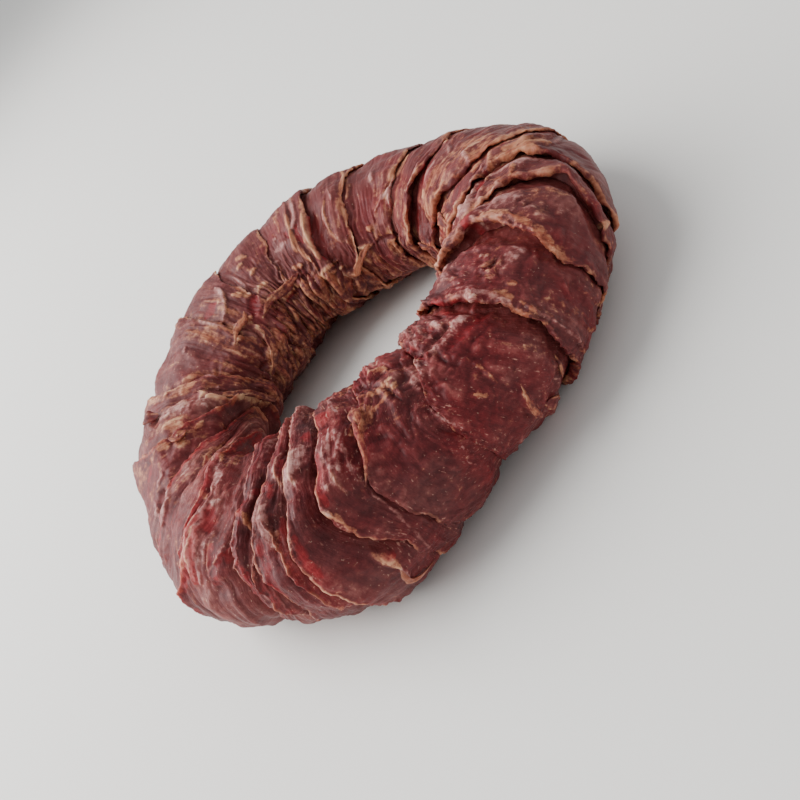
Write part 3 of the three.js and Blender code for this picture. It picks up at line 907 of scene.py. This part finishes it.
hairs = along_grain(3.5, 0.42, 3)
strands = along_grain(10, 1.6, 2)
flecks_and_glints = along_grain(1.8, 0.35, 1)
clouds = all_over(9, 3)
shades = all_over(13, 2)
crumbs = all_over(1.2, 4)
dust = all_over(0.6, 2)
grainy = mark("grit") * 0.75 + 0.3
broken = ((crumbs - 0.5) * 1.9 + (hairs - 0.5) * 0.5) * grainy
# Painted light and shade: the tone rises on the crests of the relief and falls in its hollows.
tone = 0.62 - mark("grit") * 0.2 + mark("crest") * 0.4 + broken * 0.5
tone = tone + (strands - 0.5) * 0.4 + (clouds - 0.5) * 0.4

red_lean = ramp(tone, (0.05, (72, 26, 29)), (0.35, (92, 32, 35)), (0.55, (110, 40, 42)),
                (0.8, (136, 66, 64)), (1, (172, 114, 106)))
brown_lean = ramp(tone, (0.05, (68, 34, 35)), (0.35, (84, 42, 43)), (0.55, (100, 52, 51)),
                  (0.8, (132, 80, 75)), (1, (170, 120, 108)))
lean = blend(ease(shades - mark("grit") * 0.2, 0.15, 0.5), red_lean, brown_lean)
threads = tone + (hairs - 0.5) * 0.7 + (strands - 0.5) * 0.6
fat = ramp(threads, (0.05, (104, 46, 36)), (0.4, (150, 86, 64)), (0.7, (186, 126, 94)),
           (1, (220, 172, 132)))
bloom = ramp(tone, (0.1, (100, 50, 48)), (0.5, (150, 96, 90)), (0.9, (196, 152, 146)))
colour = blend(ease(mark("fat") + broken * 1.3, 0.3, 1) * 0.85, lean, fat)
colour = blend(ease(mark("bloom") + broken * 1.1, 0.5, 1.15) * 0.75, colour, bloom)
red = ramp(tone, (0.1, (84, 20, 24)), (0.6, (144, 42, 46)), (1, (180, 84, 82)))
colour = blend(ease(mark("red") + broken * 0.6, 0.2, 1) * 0.72, colour, red)

cream = ramp(tone, (0.1, (136, 76, 60)), (0.5, (178, 120, 94)), (1, (220, 176, 144)))
colour = blend(mark("cut") * 0.6, colour, cream)
# Painted shade and fill: in hollows, creases and under scraps the colour is drawn halfway to one dull
# maroon, which dims pale marks there and lifts the darkest lean.
colour = blend(ease(mark("sunk"), 0.2, 2) * 0.5, colour, paint(112, 54, 51))
# Short pale flecks along the grain: partly pale fibres, partly painted glints.
fleck_and_glint_share = ease(flecks_and_glints + (clouds - 0.5) * 0.5 + (dust - 0.5) * 0.4, 0.68, 0.82)
fleck_and_glint_share = fleck_and_glint_share * ease(mark("grit"), 0.5, 1.1)
colour = blend(fleck_and_glint_share * 0.7, colour, paint(196, 142, 126))
colour = blend(ease(dust, 0.68, 0.76) * 0.35, colour, paint(206, 172, 150))

height = (hairs * 0.6 + crumbs * 0.8) * grainy + strands * 0.2
normal = add_node(tree, "ShaderNodeBump", {}, {"Strength": 0.8, "Distance": 0.0005, "Height": height})
finish_material(tree, {
    "Base Color": colour,
    "Roughness": 0.34 + crumbs * 0.3,
    "Normal": normal,
    "Subsurface Weight": 0.25,
    "Subsurface Scale": 0.002,
    "Subsurface Radius": (1, 0.5, 0.45),
    "Specular IOR Level": 0.05,
    "Coat Weight": 0.22,
    "Coat Roughness": 0.4,
})

slices = []
for turn in range(len(turns)):
    piece = link_mesh(f"duck_slice_{turn + 1:02d}", shape_turn(turn), meat)
    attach(piece, "root")
    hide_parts(f"wrap_{turn + 1:02d}")
    slices.append(piece)


# Torn scraps
# Flaps, curls and strings of fat and meat that hang on the turns, thin and round at the edges. Each is led
# through places, an angle round the tube, an angle round the ring and a height above the skin in mm, and has
# a width, a thickness and a hollow across it in mm, and a look.
scraps = [
    (((78, 258.5, -0.3), (68, 256.4, 0.2), (56, 254.3, 0.3), (43, 250.5, 0.2)), 1.0, 0.9, 0.1, "orange"),
    (((84, 259.5, -0.2), (76, 258.4, 0.3), (69, 257.4, 0)), 2.4, 1.0, -0.4, "fat"),
    (((-4, 246.4, -0.1), (-14, 245.8, 0.2), (-26, 246, 0.3), (-40, 249, 0.1)), 0.9, 0.5, 0.1, "cream"),
    (((14, 287.2, -0.2), (0, 284.8, 0.3), (-18, 286.2, 0.2)), 1.6, 0.8, 0.1, "orange"),
    (((2, 297, -0.1), (-6, 295.8, 0.4), (-17, 294.8, 0.3)), 1.2, 0.8, 0.2, "fat"),
    (((-12, 288, 0), (-22, 290, 0.6), (-34, 292.5, 0.6)), 3.0, 1.0, 0.3, "meat"),
    (((79, 305.8, -0.1), (74, 307, 0.2), (71, 309.4, 0)), 1.2, 0.9, -0.2, "fat"),
    (((145, 343, 0), (141, 350, 0.3), (143, 357, 0.1)), 2.6, 1.0, 0.3, "fat"),
    (((176, 12, 0), (171, 19, 0.5), (177, 25, 0.2)), 1.8, 0.9, 0.3, "fat"),
    (((156, 44, -0.2), (159, 48, 0.4), (168, 54, 0.5), (174, 57.5, 0.5), (170, 61, 0)),
     1.6, 0.9, 0.3, "yellow"),
    (((146, 77, 0), (149, 83, 0.4), (150, 92, 0.5), (147, 101, 0.4), (150, 110, 0.1)),
     2.2, 0.9, 0.3, "fat"),
    (((147, 114, -0.2), (158, 115.6, 0.5), (168, 120.5, 0.7), (176, 126, 0.7), (183, 131, 0.3)),
     2.2, 0.9, 0.4, "fat"),
    (((134, 111, -0.1), (139, 115, 0.4), (137, 120, 0.5), (141, 126, 0)), 1.6, 0.8, 0.2, "yellow"),
    (((121, 150.5, -0.2), (130, 152.4, 0.5), (146, 153, 0.7), (160, 150.5, 0.8), (174, 147, 0.9),
      (185, 142.5, 0.9), (181, 138.6, 0.5), (174, 140, 0)),
     2.0, 0.9, 0.4, "fat"),
    (((90, 155.5, -0.3), (80, 154.8, 0.5), (70, 152.8, 0.2)), 3.0, 1.2, 0.3, "meat"),
    (((112, 169, -0.1), (106, 172.5, 0.3), (98, 170, 0.1)), 2.0, 0.9, 0.3, "fat"),
]

# The torn fringe beside the hole on the far side: two rows of tongues that hang down, no two alike. A row
# has an angle round the tube where its tongues are torn off, how far they fall, and its two ends.
chance = np.random.default_rng(7)
for root, fall, first, last in ((172, 26, 58, 140), (152, 27, 62, 120)):
    for place in np.arange(first, last, 4.2):
        drop, sway, size, lift = chance.uniform((-7, -1, 2, 0.7), (7, 6, 3.4, 1.9))
        hollow = chance.uniform(-1.4, -0.6)
        look = ("fat", "meat", "orange")[chance.integers(3)]
        line = ((root + drop, place, -0.4),
                (root + drop + fall * 0.5, place + sway * 0.3, lift * 0.8),
                (root + drop + fall, place + sway, lift))
        scraps.append((line, size, 1.2, hollow, look))


def through(places, share):
    """A smooth open line through places, read at shares of its way."""
    places = np.asarray(places, float)
    count = len(places) - 1
    padded = np.concatenate([2 * places[:1] - places[1:2], places, 2 * places[-1:] - places[-2:-1]])
    first = np.minimum((share * count).astype(int), count - 1)
    nearby = (padded[first + step] for step in range(4))
    return between(*nearby, (share * count - first)[:, None])


look_from = 6


def skin_height(ring_angle, tube_angle):
    """How far the skin of the turns stands above the bare tube, in mm, found by looking in from outside."""
    wide = around(half_width, ring_angle)
    outer, inner = (tube_point(ring_angle, tube_angle, wide + skin, wide * flatness + skin) * to_metres
                    for skin in (look_from, -look_from))
    hits = [surface.ray_cast(outer, inner - outer, 2 * look_from * to_metres)[3] for surface in skins]
    nearest = min([hit for hit in hits if hit is not None], default=look_from * to_metres)
    return look_from - nearest / to_metres


shape = bmesh.new()
bmesh.ops.create_uvsphere(shape, u_segments=20, v_segments=60, radius=1)
bare_scrap = make_mesh("bare_scrap", shape)
bare_scrap.shade_smooth()
ball, ball_corner = read_mesh(bare_scrap)
rim_share, top_share = ball[:, 0], ball[:, 1]
length_share = np.arccos(np.clip(ball[:, 2], -1, 1)) / math.pi

# How much fat, bloom (partly a painted sheen) and red each look starts from.
scrap_looks = {
    "fat": (0.55, 0, 0.1),
    "yellow": (0.9, 0, 0),
    "cream": (1.2, 0.7, 0),
    "orange": (0.6, 0.1, 0.4),
    "meat": (0.4, 0.2, 0.2),
}
skins = [BVHTree.FromObject(piece, bpy.context.evaluated_depsgraph_get()) for piece in slices]
tube_scale = math.radians(mean_half_width)

for number, (places, scrap_width, thickness, hollow, look) in enumerate(scraps):
    # A stride is a fiftieth of the line, so the longest stride tells how long the line is at most.
    middle = through(places, length_share)
    ahead = through(places, np.minimum(length_share + 0.01, 1))
    behind = through(places, np.maximum(length_share - 0.01, 0))
    ring_scale = np.radians(from_ring_axis(middle[:, 0]))
    along_tube, along_ring = (ahead - behind)[:, 0] * tube_scale, (ahead - behind)[:, 1] * ring_scale
    stride = np.hypot(along_tube, along_ring)
    length = stride.max() * 50

    # The ball is drawn out along the line, flattened, and its long edges are torn.
    torn = 1 + 0.3 * noise(length_share * length / 2.2, np.sign(rim_share), 0 * length_share, number + 200)
    side = scrap_width / 2 * rim_share ** 3 / np.maximum(np.abs(rim_share) ** 2.2, 1e-6) * torn
    tube_place = middle[:, 0] + side * along_ring / stride / tube_scale
    ring_angle = middle[:, 1] - side * along_tube / stride / ring_scale
    stations = np.linspace(0, 1, 25)
    heights = [skin_height(place[1], place[0]) for place in through(places, stations)]
    heights = np.convolve(np.pad(heights, 2, "edge"), np.ones(5) / 5, "valid")
    ridges = noise(length_share * length / 5, side / 0.6, 0 * side, number + 250)
    waves = 0.25 * noise(length_share * length / 3.5, side / 1.8, 0 * side, number + 300) + 0.15 * ridges
    skin = np.interp(length_share, stations, heights) + middle[:, 2]
    skin = skin + hollow * (2 * side / scrap_width) ** 2 + waves + thickness / 2 * top_share
    wide = around(half_width, ring_angle)
    corners = tube_point(ring_angle, tube_place, wide + skin, wide * flatness + skin)

    fat_look, bloom_and_sheen_look, red_look = scrap_looks[look]
    # Each scrap gets painted shade on its underside, and painted light and sheen on its raised waves.
    marks = {
        "cut": smooth_step(0.8, 1, np.abs(rim_share)) * 0.3,
        "sunk": 0.7 - 1.3 * top_share,
        "red": red_look - waves,
        "grit": 0 * side + 0.6,
        "crest": waves,
        "fat": fat_look + waves + 0.2 * ridges,
        "bloom": bloom_and_sheen_look + waves,
    }
    mesh = bare_scrap.copy()
    fill_mesh(mesh, corners, marks, np.stack([length_share * length, side], -1)[ball_corner])
    piece = link_mesh(f"torn_scrap_{number + 1:02d}", mesh, meat)
    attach(piece, "root")
